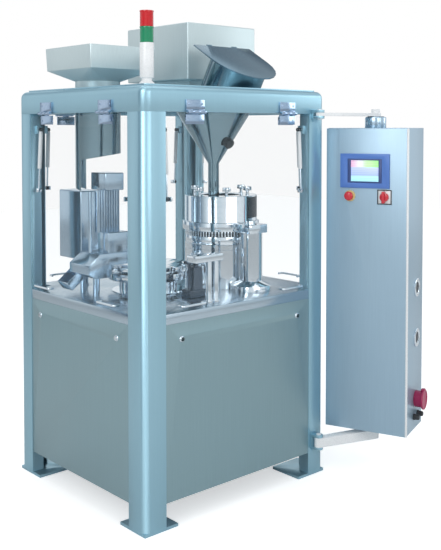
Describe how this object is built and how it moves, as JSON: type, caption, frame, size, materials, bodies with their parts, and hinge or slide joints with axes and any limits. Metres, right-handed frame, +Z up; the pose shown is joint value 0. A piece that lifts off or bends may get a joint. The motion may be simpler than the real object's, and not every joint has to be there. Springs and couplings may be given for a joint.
{
  "type": "capsule_filling_machine",
  "caption": "Automatic hard capsule filling machine: steel frame with clear flip-up doors round a dosing turret, two hoppers on top, signal tower and a swing-arm control cabinet",
  "frame": {"origin": "centre of the footprint's bounding box, on the floor", "axes": "+X to the right along the front, +Y to the rear, +Z up"},
  "size_m": [1.4374, 1.3262, 2.0515],
  "materials": {
    "painted_blue": "satin",
    "satin_steel": "satin",
    "brushed_panel": "satin",
    "clear_acrylic": "gloss",
    "polished_steel": "gloss",
    "white_plastic": "satin",
    "green_lens": "gloss",
    "red_lens": "gloss",
    "pale_steel": "satin",
    "dark_steel": "satin",
    "cast_iron": "matte",
    "painted_white": "satin",
    "cabinet_steel": "satin",
    "blue_plastic": "satin",
    "red_plastic": "gloss"
  },
  "bodies": {
    "frame": {"post_front_left": "painted_blue", "post_front_right": "painted_blue", "post_rear_right": "painted_blue", "post_rear_left": "painted_blue", "base_frame": "satin_steel", "table_plate": "satin_steel", "top_frame": "painted_blue", "deck_plate": "painted_blue", "panel_front": "brushed_panel", "panel_right": "brushed_panel", "panel_rear": "brushed_panel", "panel_left": "brushed_panel", "signal_body": "white_plastic", "signal_lens_green": "green_lens", "signal_lens_red": "red_lens", "capsule_hopper": "pale_steel", "capsule_chute": "polished_steel", "feeder_housing": "satin_steel", "sorter_box": "satin_steel", "rear_housing": "pale_steel", "powder_hopper": "polished_steel", "dosing_housing": "polished_steel", "guide_pillar": "polished_steel", "turret_base": "satin_steel", "closing_station": "polished_steel", "ejection_station": "dark_steel", "drive_unit": "cast_iron"},
    "door_front": {"door_front": "clear_acrylic"},
    "strut_tube_front_left": {"strut_tube_front_left": "satin_steel"},
    "strut_rod_front_left": {"strut_rod_front_left": "polished_steel"},
    "strut_tube_front_right": {"strut_tube_front_right": "satin_steel"},
    "strut_rod_front_right": {"strut_rod_front_right": "polished_steel"},
    "door_right": {"door_right": "clear_acrylic"},
    "strut_tube_right_left": {"strut_tube_right_left": "satin_steel"},
    "strut_rod_right_left": {"strut_rod_right_left": "polished_steel"},
    "strut_tube_right_right": {"strut_tube_right_right": "satin_steel"},
    "strut_rod_right_right": {"strut_rod_right_right": "polished_steel"},
    "door_rear": {"door_rear": "clear_acrylic"},
    "strut_tube_rear_left": {"strut_tube_rear_left": "satin_steel"},
    "strut_rod_rear_left": {"strut_rod_rear_left": "polished_steel"},
    "strut_tube_rear_right": {"strut_tube_rear_right": "satin_steel"},
    "strut_rod_rear_right": {"strut_rod_rear_right": "polished_steel"},
    "door_left": {"door_left": "clear_acrylic"},
    "strut_tube_left_left": {"strut_tube_left_left": "satin_steel"},
    "strut_rod_left_left": {"strut_rod_left_left": "polished_steel"},
    "strut_tube_left_right": {"strut_tube_left_right": "satin_steel"},
    "strut_rod_left_right": {"strut_rod_left_right": "polished_steel"},
    "capsule_magazine": {"capsule_magazine": "satin_steel"},
    "hopper_lid": {"hopper_lid": "dark_steel"},
    "dosing_disc": {"dosing_disc": "polished_steel"},
    "tamping_head": {"tamping_head": "polished_steel"},
    "turret": {"turret": "polished_steel"},
    "camshaft": {"camshaft": "satin_steel"},
    "emergency_stop": {"emergency_stop": "red_plastic"},
    "main_switch": {"main_switch": "red_plastic"},
    "swing_arm": {"upper_arm": "painted_white", "lower_arm": "painted_white"},
    "cabinet": {"cabinet_shell": "cabinet_steel"},
    "cabinet_door": {"cabinet_door": "cabinet_steel", "touch_panel": "blue_plastic"}
  },
  "joints": [
    {"name": "door_front_flip", "type": "hinge", "parent": "frame", "child": "door_front", "pos_m": [-0.18136, -0.32623, 1.63], "axis": [-1, 0, 0], "range_deg": [0, 85]},
    {"name": "strut_tube_front_left_swing", "type": "hinge", "parent": "frame", "child": "strut_tube_front_left", "pos_m": [-0.56036, -0.27423, 1.56], "axis": [-1, 0, 0], "range_deg": [0, 87.5]},
    {"name": "strut_rod_front_left_slide", "type": "slide", "parent": "strut_tube_front_left", "child": "strut_rod_front_left", "axis": [0, -0.0518, -0.9987], "range_m": [0, 0.1175]},
    {"name": "strut_tube_front_right_swing", "type": "hinge", "parent": "frame", "child": "strut_tube_front_right", "pos_m": [0.19764, -0.27423, 1.56], "axis": [-1, 0, 0], "range_deg": [0, 87.5]},
    {"name": "strut_rod_front_right_slide", "type": "slide", "parent": "strut_tube_front_right", "child": "strut_rod_front_right", "axis": [0, -0.0518, -0.9987], "range_m": [0, 0.1175]},
    {"name": "door_right_flip", "type": "hinge", "parent": "frame", "child": "door_right", "pos_m": [0.34064, 0.16077, 1.63], "axis": [0, -1, 0], "range_deg": [0, 85]},
    {"name": "strut_tube_right_left_swing", "type": "hinge", "parent": "frame", "child": "strut_tube_right_left", "pos_m": [0.28864, -0.18323, 1.56], "axis": [0, -1, 0], "range_deg": [0, 87.5]},
    {"name": "strut_rod_right_left_slide", "type": "slide", "parent": "strut_tube_right_left", "child": "strut_rod_right_left", "axis": [0.0518, 0, -0.9987], "range_m": [0, 0.1175]},
    {"name": "strut_tube_right_right_swing", "type": "hinge", "parent": "frame", "child": "strut_tube_right_right", "pos_m": [0.28864, 0.50477, 1.56], "axis": [0, -1, 0], "range_deg": [0, 87.5]},
    {"name": "strut_rod_right_right_slide", "type": "slide", "parent": "strut_tube_right_right", "child": "strut_rod_right_right", "axis": [0.0518, 0, -0.9987], "range_m": [0, 0.1175]},
    {"name": "door_rear_flip", "type": "hinge", "parent": "frame", "child": "door_rear", "pos_m": [-0.18136, 0.64777, 1.63], "axis": [1, 0, 0], "range_deg": [0, 85]},
    {"name": "strut_tube_rear_left_swing", "type": "hinge", "parent": "frame", "child": "strut_tube_rear_left", "pos_m": [0.19764, 0.59577, 1.56], "axis": [1, 0, 0], "range_deg": [0, 87.5]},
    {"name": "strut_rod_rear_left_slide", "type": "slide", "parent": "strut_tube_rear_left", "child": "strut_rod_rear_left", "axis": [0, 0.0518, -0.9987], "range_m": [0, 0.1175]},
    {"name": "strut_tube_rear_right_swing", "type": "hinge", "parent": "frame", "child": "strut_tube_rear_right", "pos_m": [-0.56036, 0.59577, 1.56], "axis": [1, 0, 0], "range_deg": [0, 87.5]},
    {"name": "strut_rod_rear_right_slide", "type": "slide", "parent": "strut_tube_rear_right", "child": "strut_rod_rear_right", "axis": [0, 0.0518, -0.9987], "range_m": [0, 0.1175]},
    {"name": "door_left_flip", "type": "hinge", "parent": "frame", "child": "door_left", "pos_m": [-0.70336, 0.16077, 1.63], "axis": [0, 1, 0], "range_deg": [0, 85]},
    {"name": "strut_tube_left_left_swing", "type": "hinge", "parent": "frame", "child": "strut_tube_left_left", "pos_m": [-0.65136, 0.50477, 1.56], "axis": [0, 1, 0], "range_deg": [0, 87.5]},
    {"name": "strut_rod_left_left_slide", "type": "slide", "parent": "strut_tube_left_left", "child": "strut_rod_left_left", "axis": [-0.0518, 0, -0.9987], "range_m": [0, 0.1175]},
    {"name": "strut_tube_left_right_swing", "type": "hinge", "parent": "frame", "child": "strut_tube_left_right", "pos_m": [-0.65136, -0.18323, 1.56], "axis": [0, 1, 0], "range_deg": [0, 87.5]},
    {"name": "strut_rod_left_right_slide", "type": "slide", "parent": "strut_tube_left_right", "child": "strut_rod_left_right", "axis": [-0.0518, 0, -0.9987], "range_m": [0, 0.1175]},
    {"name": "magazine_slide", "type": "slide", "parent": "frame", "child": "capsule_magazine", "axis": [0, 0, 1], "range_m": [0, 0.025]},
    {"name": "tamping_slide", "type": "slide", "parent": "frame", "child": "tamping_head", "axis": [0, 0, 1], "range_m": [0, 0.03]},
    {"name": "turret_index", "type": "hinge", "parent": "frame", "child": "turret", "pos_m": [-0.31136, 0.16577, 0], "axis": [0, 0, 1], "continuous": true},
    {"name": "dosing_index", "type": "hinge", "parent": "frame", "child": "dosing_disc", "pos_m": [0.03864, 0.06977, 0], "axis": [0, 0, 1], "continuous": true},
    {"name": "camshaft_spin", "type": "hinge", "parent": "frame", "child": "camshaft", "pos_m": [-0.49136, 0.23577, 0.4], "axis": [1, 0, 0], "continuous": true},
    {"name": "hopper_lid_hinge", "type": "hinge", "parent": "frame", "child": "hopper_lid", "pos_m": [-0.01236, 0.00902, 1.93102], "axis": [-1, 0, 0], "range_deg": [0, 115]},
    {"name": "arm_swing", "type": "hinge", "parent": "frame", "child": "swing_arm", "pos_m": [0.25364, -0.34923, 0], "axis": [0, 0, -1], "range_deg": [-5, 20]},
    {"name": "cabinet_swivel", "type": "hinge", "parent": "swing_arm", "child": "cabinet", "pos_m": [0.53264, -0.43823, 0], "axis": [0, 0, -1], "range_deg": [-30, 10]},
    {"name": "cabinet_door_hinge", "type": "hinge", "parent": "cabinet", "child": "cabinet_door", "pos_m": [0.4767, -0.65884, 0], "axis": [0, 0, 1], "range_deg": [0, 100]},
    {"name": "stop_press", "type": "slide", "parent": "cabinet_door", "child": "emergency_stop", "axis": [0.9379, 0.3469, 0], "range_m": [0, 0.005], "stiffness_N_per_m": 1500},
    {"name": "switch_turn", "type": "hinge", "parent": "cabinet_door", "child": "main_switch", "pos_m": [0.44121, -0.56375, 1.263], "axis": [-0.9379, -0.3469, 0], "range_deg": [0, 90]}
  ],
  "couplings": [
    {"joint": "strut_tube_front_left_swing", "follows": "door_front_flip", "ratio": 1.0283},
    {"joint": "strut_rod_front_left_slide", "follows": "door_front_flip", "m_per_rad": 0.078893},
    {"joint": "strut_tube_front_right_swing", "follows": "door_front_flip", "ratio": 1.0283},
    {"joint": "strut_rod_front_right_slide", "follows": "door_front_flip", "m_per_rad": 0.078893},
    {"joint": "strut_tube_right_left_swing", "follows": "door_right_flip", "ratio": 1.0283},
    {"joint": "strut_rod_right_left_slide", "follows": "door_right_flip", "m_per_rad": 0.078893},
    {"joint": "strut_tube_right_right_swing", "follows": "door_right_flip", "ratio": 1.0283},
    {"joint": "strut_rod_right_right_slide", "follows": "door_right_flip", "m_per_rad": 0.078893},
    {"joint": "strut_tube_rear_left_swing", "follows": "door_rear_flip", "ratio": 1.0283},
    {"joint": "strut_rod_rear_left_slide", "follows": "door_rear_flip", "m_per_rad": 0.078893},
    {"joint": "strut_tube_rear_right_swing", "follows": "door_rear_flip", "ratio": 1.0283},
    {"joint": "strut_rod_rear_right_slide", "follows": "door_rear_flip", "m_per_rad": 0.078893},
    {"joint": "strut_tube_left_left_swing", "follows": "door_left_flip", "ratio": 1.0283},
    {"joint": "strut_rod_left_left_slide", "follows": "door_left_flip", "m_per_rad": 0.078893},
    {"joint": "strut_tube_left_right_swing", "follows": "door_left_flip", "ratio": 1.0283},
    {"joint": "strut_rod_left_right_slide", "follows": "door_left_flip", "m_per_rad": 0.078893},
    {"joint": "dosing_index", "follows": "turret_index", "ratio": -2},
    {"joint": "camshaft_spin", "follows": "turret_index", "ratio": 12}
  ]
}
